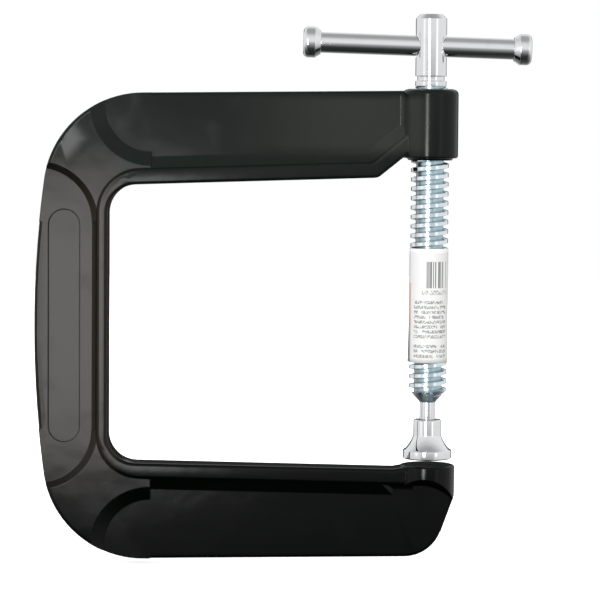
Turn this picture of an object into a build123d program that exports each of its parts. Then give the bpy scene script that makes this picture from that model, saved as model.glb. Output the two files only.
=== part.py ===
from build123d import *
import os
from math import atan2, ceil, cos, degrees, floor, radians, sin, sqrt, tan

os.makedirs("parts", exist_ok=True)

# A C clamp with a deep throat, standing upright. X runs from the spine to the mouth,
# Z runs up the screw, and the origin is the middle of the anvil's face.
# All sizes are in millimetres, and all angles in degrees.

# ------------------------------------------------------------------ driving sizes

# C frame, seen from the front
throat_depth = 102.4          # screw axis to the spine's inner face
jaw_opening = 97.6            # anvil's face to the underside of the boss
spine_width = 23.7            # at its widest, halfway up
spine_bulge_radius = 345.0
spine_bulge_drop = 4.8        # the bulge's widest place, below the middle of the opening
arm_rise = 0.75               # both arms' outer edges climb this much towards the mouth
upper_arm_depth = 27.2        # at the screw axis
upper_arm_taper = 1.25        # the underside climbs this much more than the top edge
lower_arm_depth = 28.4        # at the screw axis
lower_arm_taper = 1.7
outer_corner_radius = 32.0
inner_corner_radius = 9.2
nose_slant = 19.8             # of the lower jaw's front edge, from the vertical
nose_radius = 12.4
nose_edge_top = 9.5           # the slant starts this far below the anvil's face

# C frame, through its T-shaped section
web_thickness = 4.6
web_edge_round = 1.2
flange_width = 10.8
arm_flange_thickness = 5.0
spine_flange_thickness = 3.6
flange_corner_radius = 14.0
flange_round = 1.1
flange_foot_round = 1.9
flange_ramp = 3.6             # along each arm, from the flange down to the web
flange_ramp_rise = 1.42

# raised pads at the two outer corners, between the cones that end the recesses
corner_thickness = 8.0
arm_cone_radius = 15.0        # at the web
arm_cone_ramp = 4.3           # wider by this at the pad's face
arm_cone_reach = 13.7         # its axis, from the spine's inner face towards the mouth
arm_cone_drop = 4.0           # its axis, inside the arm's outer edge
spine_cone_radius = 17.3
spine_cone_ramp = 2.0
spine_cone_inset = 1.2        # its axis, inside the bulge
spine_cone_spread = 33.2      # its axis, above and below the bulge's middle

# shallow panel on both sides of the spine
panel_length = 74.6
panel_width = 10.0
panel_depth = 0.4
panel_inset = 9.6             # its middle from the bulge's widest place

# boss that holds the screw, and the anvil across from it
boss_radius = 8.9
boss_height = 22.7
boss_round = 1.6
boss_crown = 0.5
boss_crown_radius = 6.9
boss_lip_radius = 7.4
boss_lip_height = 0.7
boss_lip_slant = 0.5
boss_web_blend = 1.8
chin_angle = 39.0             # slope under the upper arm, up to the boss
chin_corner_radius = 3.0
anvil_radius = 8.8
anvil_step = 1.2              # anvil's face above the lower arm, at the screw axis
anvil_round = 0.6
anvil_blend = 2.2
anvil_cone_radius = 14.8      # round end of the lower arm's recess, under the anvil
anvil_cone_depth = 21.3       # its axis, below the anvil's face
anvil_cone_shift = 2.4        # its axis, on the spine's side of the screw
anvil_cone_ramp = 2.6

# trapezoidal screw thread, right-handed
thread_diameter = 12.0
thread_pitch = 3.0
thread_depth = 1.6
thread_floor = 1.0            # width of the groove's floor
thread_flank = 15.0
thread_clearance = 0.25       # crest to floor in the nut thread
flank_clearance = 0.2         # along the screw, on each flank
flank_steps = 6               # along each flank, where the section is drawn
block_turns = 3               # turns of thread made in one piece
ridge_spare = 0.1             # how far a ridge is first made past its crest and its root
bore_chamfer = 0.7            # radial
bore_chamfer_slope = 60.0     # from square to the screw

# spindle, from its head down
head_diameter = 9.9
head_length = 22.9            # with its collar and groove
head_chamfer = 1.5
head_groove_width = 1.5
head_groove_diameter = 8.6
head_collar_width = 1.7
head_clearance = 0.8          # under the head, above the boss
cross_hole_clearance = 0.25   # around the bar, so that it can lie askew
cross_hole_height = 13.5      # above the boss
cross_hole_chamfer = 0.5
neck_diameter = 5.1
neck_length = 5.6             # in sight above the pad
neck_step = 0.6
throat_diameter = 4.0         # behind the ball
tip_taper_length = 3.8
tip_gap = 2.02                # pad's face above the anvil, as the clamp stands

# swivel pad, its ball and the wire ring that keeps the ball in
pad_height = 12.6
pad_base_diameter = 15.6
pad_base_height = 3.0
pad_flare_diameter = 14.4
pad_flare_sag = 0.06          # how hollow the flare is
pad_collar_diameter = 8.9
pad_collar_height = 5.0
pad_floor = 1.2
pad_mouth_diameter = 7.0
pad_round = 0.5
ball_diameter = 7.2
ball_clearance = 0.1
ring_wire = 0.7
ring_diameter = 5.1           # of the wire's centre line
ring_clearance = 0.08
ring_room = 0.45              # around the ring, so that the pad can tilt
ring_gap = 30.0               # degrees left open
lip_diameter = 5.2
lip_height = 0.7
lip_cone_length = 1.3

# T-bar
bar_diameter = 6.5
bar_clear_length = 61.4       # between its end caps
bar_shift = -4.4              # its middle, as it has slid in the head
bar_slope = 1.65              # down to the mouth's side
cap_diameter = 9.8
cap_length = 5.6
cap_round = 1.6
cap_cone_length = 1.9
cap_skirt_diameter = 7.4
spigot_diameter = 4.5
spigot_length = 3.8

# paper label around the screw
label_length = 36.5
label_top_drop = 28.0         # below the boss
label_thickness = 0.2
label_clearance = 0.06
label_tab = 0.7

# ------------------------------------------------------------------ places

FRONT = Plane.XZ              # seen from the front: right is +X, up is +Z
boss_top = jaw_opening + boss_height
top_edge = boss_top - boss_crown
lower_arm_top = -anvil_step
bottom_edge = lower_arm_top - lower_arm_depth
spine_inner = -throat_depth
spine_outer = spine_inner - spine_width
spine_middle = jaw_opening / 2 - spine_bulge_drop
pad_face = tip_gap
ball_height = pad_face + pad_floor + ball_clearance + ball_diameter / 2
ring_reach = ball_diameter / 2 + ring_wire / 2 + ring_clearance
ring_height = ball_height + sqrt(ring_reach**2 - (ring_diameter / 2) ** 2)
lip_foot = ring_height + ring_wire / 2 + ring_room
lip_top = lip_foot + lip_height


def line_at(height, slope, x):
    """Height of an edge that crosses the screw axis at height and climbs by slope."""
    return height + x * tan(radians(slope))


def top_at(x):
    return line_at(top_edge, arm_rise, x)


def bottom_at(x):
    return line_at(bottom_edge, arm_rise, x)


def underside_at(x):
    return line_at(top_edge - upper_arm_depth, arm_rise + upper_arm_taper, x)


def lower_top_at(x):
    return line_at(lower_arm_top, arm_rise - lower_arm_taper, x)


def chin_foot(drop):
    """Where the chin's slope, moved square to itself by drop, meets the underside so moved."""
    run = tan(radians(chin_angle))
    top = jaw_opening + boss_lip_height + drop / cos(radians(chin_angle))
    low = underside_at(0) + drop
    climb = tan(radians(arm_rise + upper_arm_taper))
    return -(top - low + boss_radius * run) / (run - climb), top, run


def nut_side(offset):
    """Two points of the upper arm's inner contour: at the boss, and at the chin's foot."""
    foot, top, run = chin_foot(offset)
    return (0, top + boss_radius * run), (foot, underside_at(foot) + offset)


# ------------------------------------------------------------------ screw thread


def thread(gap, side_gap, low, high):
    """A threaded rod grown by the two gaps, past low and high. Its ridge passes over +X at height 0.

    A rod twisted in one go has surfaces of so many spans that their meshes grow huge, so it is
    made as a block of a few turns, copied along the screw. Crest and root are real cylinders.
    """
    crest = thread_diameter / 2 + gap
    root = crest - thread_depth
    over, under = crest + ridge_spare, root - ridge_spare

    def ridge_end(radius):
        """Half the ridge's width at a radius, as degrees round the screw."""
        drop = thread_diameter / 2 - thread_depth - radius
        half = (thread_pitch - thread_floor) / 2 + drop * tan(radians(thread_flank)) + side_gap
        return 360 * half / thread_pitch

    with BuildSketch() as section:
        with BuildLine():
            CenterArc((0, 0), over, -ridge_end(over), 2 * ridge_end(over))
            steps = [over - (over - under) * step / flank_steps for step in range(flank_steps + 1)]
            Spline(*[Vector(radius, 0).rotate(Axis.Z, ridge_end(radius)) for radius in steps])
            Spline(*[Vector(radius, 0).rotate(Axis.Z, -ridge_end(radius)) for radius in steps])
            CenterArc((0, 0), under, ridge_end(under), 360 - 2 * ridge_end(under))
        make_face()
    rise = block_turns * thread_pitch
    face = section.sketch.face()
    twisted = Solid.extrude_linear_with_rotation(face, (0, 0, 0), (0, 0, rise), block_turns * 360)
    with BuildPart() as block:
        add(twisted)
        Cylinder(crest, rise, align=(Align.CENTER, Align.CENTER, Align.MIN), mode=Mode.INTERSECT)
        Cylinder(root, rise, align=(Align.CENTER, Align.CENTER, Align.MIN))
    foot = thread_pitch * floor(low / thread_pitch)
    with BuildPart() as rod:
        with Locations(*[(0, 0, foot + rise * place) for place in range(ceil((high - foot) / rise))]):
            add(block.part)
    return rod.part


# ------------------------------------------------------------------ C frame


def inner_contour():
    """From the boss, round the opening, to the edge of the anvil's face."""
    nut, foot = nut_side(0)
    blend = -anvil_radius - anvil_blend
    return FilletPolyline(
        nut,
        foot,
        (spine_inner, underside_at(spine_inner)),
        (spine_inner, lower_top_at(spine_inner)),
        (blend, lower_top_at(blend)),
        (-anvil_radius, -anvil_round),
        (0, -anvil_round),
        radius=(chin_corner_radius, inner_corner_radius, inner_corner_radius, anvil_blend, 0),
    )


def groove_contour():
    """The flange's other side, which the recesses run along."""
    nut, foot = nut_side(arm_flange_thickness)
    x = spine_inner - spine_flange_thickness
    return FilletPolyline(
        nut,
        foot,
        (x, underside_at(x) + arm_flange_thickness),
        (x, lower_top_at(x) - arm_flange_thickness),
        (0, lower_top_at(0) - arm_flange_thickness),
        radius=(chin_corner_radius, flange_corner_radius, flange_corner_radius),
    )


def outer_contour():
    """From the boss, round the spine, up to the anvil."""
    x = spine_outer
    half = (top_at(x) - bottom_at(x)) / 2
    sagitta = half**2 / (2 * spine_bulge_radius)
    slant = tan(radians(nose_slant))
    nose_foot = anvil_radius - slant * (-nose_edge_top - bottom_edge)
    top_left = (x + sagitta, top_at(x))
    bottom_left = (x + sagitta, bottom_at(x))
    Line((0, top_at(0)), top_left)
    ThreePointArc(top_left, (x, spine_middle), bottom_left)
    FilletPolyline(
        bottom_left,
        (nose_foot, bottom_at(nose_foot)),
        (anvil_radius, -nose_edge_top),
        (anvil_radius, -anvil_round),
        (0, -anvil_round),
        radius=(nose_radius, nose_radius / 2, 0),
    )


arm_cone_x = spine_inner + arm_cone_reach


def plate(face, thickness):
    """A face of the front view made into a plate, with the clamp's middle plane in its middle."""
    extrude(Pos(0, thickness / 2, 0) * face, amount=thickness)


with BuildSketch(FRONT) as outline:
    with BuildLine():
        outer_contour()
        contour = inner_contour()
        Line(contour @ 0, (0, top_at(0)))
    make_face()
    fillet(outline.vertices().sort_by(Axis.X)[:2], outer_corner_radius)

with BuildSketch(FRONT) as band:
    with BuildLine():
        inside = inner_contour()
        outside = groove_contour()
        Line(inside @ 0, outside @ 0)
        Line(inside @ 1, outside @ 1)
    make_face()

with BuildPart() as web:
    plate(outline.sketch, web_thickness)
    fillet(web.faces().filter_by(Axis.Y).edges(), web_edge_round)

with BuildPart() as flange:
    plate(band.sketch, flange_width)
    fillet(flange.faces().filter_by(Axis.Y).edges(), flange_round)


def is_foot(edge):
    """Whether an edge lies where the flange stands on the web."""
    middle = edge @ 0.5
    on_web = abs(abs(middle.Y) - web_thickness / 2) < 0.01
    return on_web and outside.distance_to(Vector(middle.X, middle.Z)) < 0.01


def ramp_outline():
    """For each arm, the foot of the ramp beside its flange, and back inside the flange."""
    wide, narrow = arm_flange_thickness + flange_ramp, flange_round
    start, end = arm_cone_x - flange_ramp, -anvil_radius - anvil_blend
    nut, foot = nut_side(wide)
    inner_nut, inner_foot = nut_side(narrow)
    upper = (nut, foot, (start, underside_at(start) + wide))
    upper += ((start, underside_at(start) + narrow), inner_foot, inner_nut)
    corners = (start, wide), (end, wide), (end, narrow), (start, narrow)
    lower = [(x, lower_top_at(x) - depth) for x, depth in corners]
    return upper, lower


# beside the flange each arm's recess rises as gently as its round end does to the pad
with BuildPart() as ramps:
    for points in ramp_outline():
        with BuildSketch(FRONT.offset(web_thickness / 2)):
            with BuildLine():
                Polyline(*points, close=True)
            make_face()
        extrude(amount=flange_ramp_rise, taper=degrees(atan2(flange_ramp, flange_ramp_rise)))
    mirror(about=FRONT)

# the two arms and the spine, as far as the boss and the anvil
trim = Plane.YZ.offset(-anvil_radius / 2)
with BuildPart() as bow:
    add(web.part)
    add(flange.part)
    split(bisect_by=trim, keep=Keep.BOTTOM)
    fillet([edge for edge in bow.edges() if is_foot(edge)], flange_foot_round)
    add(ramps.part)
    split(bisect_by=trim, keep=Keep.BOTTOM)

with BuildPart() as nose:
    add(web.part)
    split(bisect_by=trim, keep=Keep.TOP)

# raised pads: the plate's corners, thicker, less a cone where each recess ends
spine_cone_x = spine_outer + spine_cone_inset
arm_cones = (
    (arm_cone_x, top_at(arm_cone_x) - arm_cone_drop),
    (arm_cone_x, bottom_at(arm_cone_x) + arm_cone_drop),
)
spine_cones = (
    (spine_cone_x, spine_middle + spine_cone_spread),
    (spine_cone_x, spine_middle - spine_cone_spread),
)


def cut_cones(places, radius, ramp, rise):
    """Cones square to the front, widening from the web's face by ramp over rise."""
    with BuildSketch(FRONT.offset(web_thickness / 2)) as circles:
        with Locations(*places):
            Circle(radius)
    extrude(circles.sketch, amount=rise, taper=-degrees(atan2(ramp, rise)), mode=Mode.SUBTRACT)


with BuildPart() as corner_pads:
    extrude(outline.sketch, amount=corner_thickness / 2)
    fillet(corner_pads.faces().sort_by(Axis.Y)[0].edges(), web_edge_round)
    left = spine_outer - corner_thickness
    with BuildSketch(FRONT):
        for (_, near), far in zip(spine_cones, (top_edge, bottom_edge - arm_cone_drop)):
            with BuildLine():
                Polyline((left, near), (arm_cone_x, near), (arm_cone_x, far), (left, far), close=True)
            make_face()
    extrude(amount=corner_thickness / 2, mode=Mode.INTERSECT)
    pad_rise = (corner_thickness - web_thickness) / 2
    cut_cones(arm_cones, arm_cone_radius, arm_cone_ramp, pad_rise)
    cut_cones(spine_cones, spine_cone_radius, spine_cone_ramp, pad_rise)
    mirror(about=FRONT)

# anvil: a round post, scooped away where the lower arm's recess ends
with BuildPart() as anvil:
    with BuildSketch(Plane.XY.offset(-anvil_cone_depth)):
        Circle(anvil_radius)
    extrude(amount=anvil_cone_depth)
    fillet(anvil.faces().sort_by(Axis.Z)[-1].edges(), anvil_round)
    with BuildSketch(FRONT):
        with BuildLine():
            slant_foot = anvil_radius - (anvil_cone_depth - nose_edge_top) * tan(radians(nose_slant))
            Polyline(
                (-anvil_radius, 0),
                (anvil_radius, 0),
                (anvil_radius, -nose_edge_top),
                (slant_foot, -anvil_cone_depth),
                (-anvil_radius, -anvil_cone_depth),
                close=True,
            )
        make_face()
    extrude(amount=anvil_radius, both=True, mode=Mode.INTERSECT)
    for side in (1, -1):
        with BuildSketch(FRONT.offset(side * web_thickness / 2)):
            with Locations((-anvil_cone_shift, -anvil_cone_depth)):
                Circle(anvil_cone_radius)
        reach = anvil_radius - web_thickness / 2
        lean = degrees(atan2(anvil_cone_ramp, reach))
        extrude(amount=side * reach, taper=-lean, mode=Mode.SUBTRACT)

nut_thread = thread(thread_clearance, flank_clearance, jaw_opening, boss_top)

# boss, with a crowned top, a low lip round the screw, and its blend into the web
with BuildPart() as boss:
    with BuildSketch(FRONT):
        with BuildLine():
            Polyline(
                (0, jaw_opening),
                (boss_lip_radius - boss_lip_slant, jaw_opening),
                (boss_lip_radius, jaw_opening + boss_lip_height),
                (boss_radius, jaw_opening + boss_lip_height),
                (boss_radius, top_edge),
                (boss_crown_radius, boss_top),
                (0, boss_top),
                close=True,
            )
        make_face()
        fillet(vertices().sort_by_distance((boss_radius, top_edge))[0], boss_round)
        fillet(vertices().sort_by_distance((boss_radius, jaw_opening))[0], boss_round / 2)
    revolve(axis=Axis.Z)
    groove_end = nut_side(arm_flange_thickness)[0][1] - boss_radius * tan(radians(chin_angle))
    with BuildSketch(Plane.XY.offset(groove_end)) as blend:
        Circle(boss_radius)
        with Locations((-boss_radius, 0)):
            Rectangle(2 * boss_radius, web_thickness)
        meeting = blend.vertices().filter_by_position(Axis.X, -boss_radius + 0.01, -0.1)
        fillet(meeting, boss_web_blend)
    extrude(amount=top_edge - boss_round - groove_end)
    add(nut_thread, mode=Mode.SUBTRACT)
    for height, turn in ((jaw_opening, 1), (boss_top, -1)):
        mouth = thread_diameter / 2 + thread_clearance + bore_chamfer
        point = height + turn * mouth * tan(radians(bore_chamfer_slope))
        with BuildSketch(FRONT):
            with BuildLine():
                Polyline((0, height), (mouth, height), (0, point), close=True)
            make_face()
        revolve(axis=Axis.Z, mode=Mode.SUBTRACT)

with BuildPart() as frame:
    add(bow.part)
    add(nose.part)
    add(corner_pads.part)
    add(anvil.part)
    # the arm makes room for the boss, which has its own wall round the bore
    with BuildSketch(Plane.XY.offset(jaw_opening)):
        Circle(boss_lip_radius)
    extrude(amount=boss_height, mode=Mode.SUBTRACT)
    add(boss.part)
    for side in (1, -1):
        with BuildSketch(FRONT.offset(side * web_thickness / 2)):
            with Locations((spine_outer + panel_inset, spine_middle)):
                SlotOverall(panel_length, panel_width, rotation=90)
        extrude(amount=-side * panel_depth, mode=Mode.SUBTRACT)

# ------------------------------------------------------------------ spindle

neck_foot = pad_face + pad_height
thread_foot = neck_foot + neck_length
head_foot = boss_top + head_clearance
bar_height = boss_top + cross_hole_height

screw_thread = thread(0, 0, thread_foot, head_foot)

with BuildPart() as spindle:
    add(screw_thread)
    with BuildSketch(FRONT):
        with BuildLine():
            past = thread_diameter
            taper = tip_taper_length / (thread_diameter - neck_diameter) * 2
            Polyline(
                (0, thread_foot),
                (neck_diameter / 2, thread_foot),
                (past, thread_foot + (past - neck_diameter / 2) * taper),
                (past, head_foot),
                (0, head_foot),
                close=True,
            )
        make_face()
    revolve(axis=Axis.Z, mode=Mode.INTERSECT)
    with BuildSketch(FRONT):
        with BuildLine():
            head = head_diameter / 2
            collar_top = head_foot + head_collar_width
            groove_top = collar_top + head_groove_width
            head_top = head_foot + head_length
            Polyline(
                (0, head_foot),
                (head, head_foot),
                (head, collar_top),
                (head_groove_diameter / 2, collar_top),
                (head_groove_diameter / 2, groove_top),
                (head, groove_top),
                (head, head_top - head_chamfer),
                (head - head_chamfer, head_top),
                (0, head_top),
                close=True,
            )
        make_face()
    revolve(axis=Axis.Z)
    with BuildSketch(FRONT):
        with BuildLine():
            throat = throat_diameter / 2
            neck = neck_diameter / 2
            step = lip_top + lip_cone_length / 2
            Polyline(
                (0, ball_height),
                (throat, ball_height),
                (throat, step),
                (neck, step + neck_step),
                (neck, thread_foot),
                (0, thread_foot),
                close=True,
            )
        make_face()
    revolve(axis=Axis.Z)
    with Locations((0, 0, ball_height)):
        Sphere(ball_diameter / 2)
    hole = bar_diameter / 2 + cross_hole_clearance
    with BuildSketch(Plane.YZ.offset(-head)):
        with Locations((0, bar_height)):
            Circle(hole)
    extrude(amount=2 * head, mode=Mode.SUBTRACT)
    rims = spindle.edges().filter_by(GeomType.BSPLINE)
    chamfer(rims.filter_by_position(Axis.Z, bar_height - hole, bar_height + hole), cross_hole_chamfer)

# ------------------------------------------------------------------ swivel pad and its ring

with BuildPart() as snap_ring:
    with BuildLine(Plane.XY.offset(ring_height)) as loop:
        CenterArc((0, 0), ring_diameter / 2, 180 + ring_gap / 2, 360 - ring_gap)
    wire = loop.edges()[0]
    with BuildSketch(Plane(origin=wire @ 0, z_dir=wire % 0)):
        Circle(ring_wire / 2)
    sweep(path=wire)

with BuildPart() as swivel_pad:
    with BuildSketch(FRONT):
        with BuildLine():
            base, collar = pad_base_diameter / 2, pad_collar_diameter / 2
            base_top = pad_face + pad_base_height
            collar_foot = neck_foot - pad_collar_height
            socket = ball_diameter / 2 + ball_clearance
            lip, mouth = lip_diameter / 2, pad_mouth_diameter / 2
            flare_foot, flare_top = (pad_flare_diameter / 2, base_top), (collar, collar_foot)
            flare_length = (Vector(flare_foot) - Vector(flare_top)).length
            Polyline((0, pad_face), (base, pad_face), (base, base_top), flare_foot)
            SagittaArc(flare_foot, flare_top, -pad_flare_sag * flare_length)
            Polyline(
                flare_top,
                (collar, neck_foot),
                (mouth, neck_foot),
                (mouth, lip_top + lip_cone_length),
                (lip, lip_top),
                (lip, lip_foot),
                (socket, lip_foot),
                (socket, ball_height),
            )
            CenterArc((0, ball_height), socket, 0, -90)
            Line((0, ball_height - socket), (0, pad_face))
        make_face()
        for corner in ((base, pad_face), (base, base_top), (collar, neck_foot)):
            fillet(vertices().sort_by_distance(corner)[0], pad_round)
    revolve(axis=Axis.Z)

# ------------------------------------------------------------------ sliding bar and its caps

# the bar lies askew in its hole, and slopes down to the right
bar_way = Vector(cos(radians(bar_slope)), 0, -sin(radians(bar_slope)))
bar_middle = Vector(0, 0, bar_height) + bar_way * bar_shift
left_end = Plane(origin=bar_middle - bar_way * bar_clear_length / 2, z_dir=-bar_way)
right_end = Plane(origin=bar_middle + bar_way * bar_clear_length / 2, z_dir=bar_way)

with BuildPart() as t_bar:
    with BuildSketch(left_end):
        Circle(bar_diameter / 2)
    extrude(amount=-bar_clear_length)
    for end in (left_end, right_end):
        with BuildSketch(end):
            Circle(spigot_diameter / 2)
        extrude(amount=spigot_length)

with BuildPart() as cap:
    with BuildSketch(FRONT):
        with BuildLine():
            wide, skirt, spigot = cap_diameter / 2, cap_skirt_diameter / 2, spigot_diameter / 2
            Polyline(
                (spigot, 0),
                (skirt, 0),
                (wide, cap_cone_length),
                (wide, cap_length),
                (0, cap_length),
                (0, spigot_length),
                (spigot, spigot_length),
                close=True,
            )
        make_face()
        fillet(vertices().sort_by_distance((wide, cap_length))[0], cap_round)
        fillet(vertices().sort_by_distance((wide, cap_cone_length))[0], cap_round / 2)
    revolve(axis=Axis.Z)

with BuildPart() as bar_cap_left:
    with Locations(left_end):
        add(cap.part)

with BuildPart() as bar_cap_right:
    with Locations(right_end):
        add(cap.part)

# ------------------------------------------------------------------ paper label

label_inside = thread_diameter / 2 + label_clearance
with BuildPart() as label:
    with BuildSketch(Plane.XY.offset(jaw_opening - label_top_drop - label_length)):
        Circle(label_inside + label_thickness)
        with Locations((-label_inside, 0)):
            Rectangle(label_thickness + label_tab, 2 * label_thickness, align=(Align.MAX, Align.CENTER))
        Circle(label_inside, mode=Mode.SUBTRACT)
    extrude(amount=label_length)

# ------------------------------------------------------------------ files

frame.part.label = "frame"
export_step(frame.part, "parts/frame.step")
spindle.part.label = "spindle"
export_step(spindle.part, "parts/spindle.step")
snap_ring.part.label = "snap_ring"
export_step(snap_ring.part, "parts/snap_ring.step")
swivel_pad.part.label = "swivel_pad"
export_step(swivel_pad.part, "parts/swivel_pad.step")
t_bar.part.label = "t_bar"
export_step(t_bar.part, "parts/t_bar.step")
bar_cap_left.part.label = "bar_cap_left"
export_step(bar_cap_left.part, "parts/bar_cap_left.step")
bar_cap_right.part.label = "bar_cap_right"
export_step(bar_cap_right.part, "parts/bar_cap_right.step")
label.part.label = "label"
export_step(label.part, "parts/label.step")
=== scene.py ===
# %% [markdown]
# A C clamp with a deep throat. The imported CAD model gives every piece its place, so the first
# step loads it as a fixed frame and keeps its box, which the dressed model has to stay inside.
# All sizes below are in metres; MM turns a workshop drawing's millimetres into metres.

from math import asin, cos, pi, radians, sin, tan

import bmesh
import bpy
from mathutils import Matrix, Vector


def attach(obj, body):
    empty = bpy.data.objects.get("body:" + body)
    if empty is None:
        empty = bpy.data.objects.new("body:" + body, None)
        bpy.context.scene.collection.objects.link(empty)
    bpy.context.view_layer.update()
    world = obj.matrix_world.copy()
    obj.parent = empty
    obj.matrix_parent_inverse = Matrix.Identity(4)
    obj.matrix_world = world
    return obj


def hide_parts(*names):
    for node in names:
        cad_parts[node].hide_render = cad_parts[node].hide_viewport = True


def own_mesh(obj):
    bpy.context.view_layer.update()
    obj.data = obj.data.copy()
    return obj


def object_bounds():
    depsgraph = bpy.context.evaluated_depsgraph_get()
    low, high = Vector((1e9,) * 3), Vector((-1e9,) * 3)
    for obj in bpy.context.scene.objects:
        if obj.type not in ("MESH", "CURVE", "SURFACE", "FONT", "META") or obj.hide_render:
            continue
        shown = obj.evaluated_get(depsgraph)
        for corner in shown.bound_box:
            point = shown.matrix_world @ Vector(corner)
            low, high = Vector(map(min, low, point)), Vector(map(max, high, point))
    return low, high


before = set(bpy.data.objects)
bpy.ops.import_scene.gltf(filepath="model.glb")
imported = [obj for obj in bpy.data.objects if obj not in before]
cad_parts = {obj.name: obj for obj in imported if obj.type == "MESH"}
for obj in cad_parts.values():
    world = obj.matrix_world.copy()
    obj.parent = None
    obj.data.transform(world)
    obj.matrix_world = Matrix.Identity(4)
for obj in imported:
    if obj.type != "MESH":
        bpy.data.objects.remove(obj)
cad_low, cad_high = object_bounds()
MM = 0.001
print("CAD box in mm:", [round(v / MM, 1) for v in (*cad_low, *cad_high)])

# %% [markdown]
# The view is a long lens a little above the middle of the clamp, square to the bow. A camera can
# be placed by its angles, but writing its three axes as the columns of a matrix keeps the slight
# roll of the picture apart from the direction of view.

# %% the camera
VIEW_TARGET = Vector((-41.14, 0.0, 52.65)) * MM
VIEW_DISTANCE = 870 * MM
VIEW_ELEVATION = radians(4.0)
VIEW_ROLL = radians(-0.43)

forward = Vector((0, cos(VIEW_ELEVATION), -sin(VIEW_ELEVATION)))
level_up = Vector((0, sin(VIEW_ELEVATION), cos(VIEW_ELEVATION)))
right = Vector((cos(VIEW_ROLL), 0, 0)) - sin(VIEW_ROLL) * level_up
up = Vector((sin(VIEW_ROLL), 0, 0)) + cos(VIEW_ROLL) * level_up

lens = bpy.data.cameras.new("studio_camera")
lens.sensor_width = 36
lens.lens = 163.1
lens.clip_start, lens.clip_end = 0.05, 20
camera = bpy.data.objects.new("studio_camera", lens)
axes = Matrix((right, up, -forward)).transposed().to_4x4()
camera.matrix_world = Matrix.Translation(VIEW_TARGET - forward * VIEW_DISTANCE) @ axes
bpy.context.scene.collection.objects.link(camera)
bpy.context.scene.camera = camera
bpy.context.scene.view_settings.view_transform = "Standard"
print("camera at", [round(v, 3) for v in camera.matrix_world.translation])


# %% [markdown]
# Every finish is a small tree of shader nodes. A few helpers keep the trees readable: one adds a
# node with its settings, the others add the maths nodes that most masks are made of. They work in
# shader trees and in Geometry Nodes trees alike, because both kinds make and link nodes in one way.

# %% helpers for node trees
def feed(tree, socket, value):
    """Gives an input a plain value, or links another node's output to it."""
    if isinstance(value, bpy.types.NodeSocket):
        tree.links.new(value, socket)
    else:
        socket.default_value = value


def node(tree, kind, inputs=None, **settings):
    """Adds a node, sets its properties, and feeds its inputs with values or other nodes' sockets."""
    made = tree.nodes.new(kind)
    for name, value in settings.items():
        setattr(made, name, value)
    for name, value in (inputs or {}).items():
        feed(tree, made.inputs[name], value)
    return made


def maths(tree, operation, *values):
    """One Math node, fed with numbers or sockets; gives its output socket."""
    made = node(tree, "ShaderNodeMath", operation=operation)
    for socket, value in zip(made.inputs, values):
        feed(tree, socket, value)
    return made.outputs[0]


def product(tree, first, *others):
    """Several masks or numbers multiplied."""
    for other in others:
        first = maths(tree, "MULTIPLY", first, other)
    return first


def remap(tree, value, low, high, to_low, to_high, smooth=False):
    """A clamped Map Range node; gives its output socket."""
    made = node(tree, "ShaderNodeMapRange", clamp=True)
    if smooth:
        made.interpolation_type = "SMOOTHSTEP"
    for socket, number in zip(made.inputs, (value, low, high, to_low, to_high)):
        feed(tree, socket, number)
    return made.outputs[0]


def band(tree, value, rise_from, rise_to, fall_from, fall_to):
    """A soft mask: it rises to 1, stays there, and falls to 0 again as the value grows."""
    return product(tree, remap(tree, value, rise_from, rise_to, 0, 1, smooth=True),
                   remap(tree, value, fall_from, fall_to, 1, 0, smooth=True))


# %% [markdown]
# The clamp stands over a sheet of white paper. The floor answers each kind of ray in its own way.
# To the camera it is white and glows a little, so that no extra light has to fall on the clamp; to
# soft light it is grey, so that it throws little back up. Glossy rays pass through it, and the
# paint and the plating mirror the room instead. A lit white floor would show as a pale veil there.

# %% the floor
FLOOR_DROP = 1.5 * MM
FLOOR_SIZE = 3.0
FLOOR_GREY, FLOOR_GLOW = 0.30, 0.55

floor_mesh = bpy.data.meshes.new("studio_floor")
half = FLOOR_SIZE / 2
corners = [(-half, -half), (half, -half), (half, half), (-half, half)]
floor_height = cad_low.z - FLOOR_DROP
floor_mesh.from_pydata([(x, y, floor_height) for x, y in corners], [], [(0, 1, 2, 3)])
floor_object = bpy.data.objects.new("studio_floor", floor_mesh)
bpy.context.scene.collection.objects.link(floor_object)

paper = bpy.data.materials.new("floor_paper")
paper.use_nodes = True
tree = paper.node_tree
tree.nodes.clear()
path = node(tree, "ShaderNodeLightPath")
to_camera = path.outputs["Is Camera Ray"]
grey, white = (FLOOR_GREY, FLOOR_GREY, FLOOR_GREY, 1), (1, 1, 1, 1)
seen = node(tree, "ShaderNodeMix", {"Factor": to_camera, "A": grey, "B": white}, data_type="RGBA")
matt = node(tree, "ShaderNodeBsdfDiffuse", {"Color": seen.outputs["Result"]})
glow = node(tree, "ShaderNodeEmission", {
    "Color": white, "Strength": maths(tree, "MULTIPLY", to_camera, FLOOR_GLOW)})
sheet = node(tree, "ShaderNodeAddShader")
tree.links.new(matt.outputs[0], sheet.inputs[0])
tree.links.new(glow.outputs[0], sheet.inputs[1])
clear = node(tree, "ShaderNodeBsdfTransparent")
kept = node(tree, "ShaderNodeMixShader", {"Fac": path.outputs["Is Glossy Ray"]})
tree.links.new(sheet.outputs[0], kept.inputs[1])
tree.links.new(clear.outputs[0], kept.inputs[2])
tree.links.new(kept.outputs[0], node(tree, "ShaderNodeOutputMaterial").inputs["Surface"])
floor_mesh.materials.append(paper)
print("floor at", round(floor_height / MM, 1), "mm")

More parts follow.
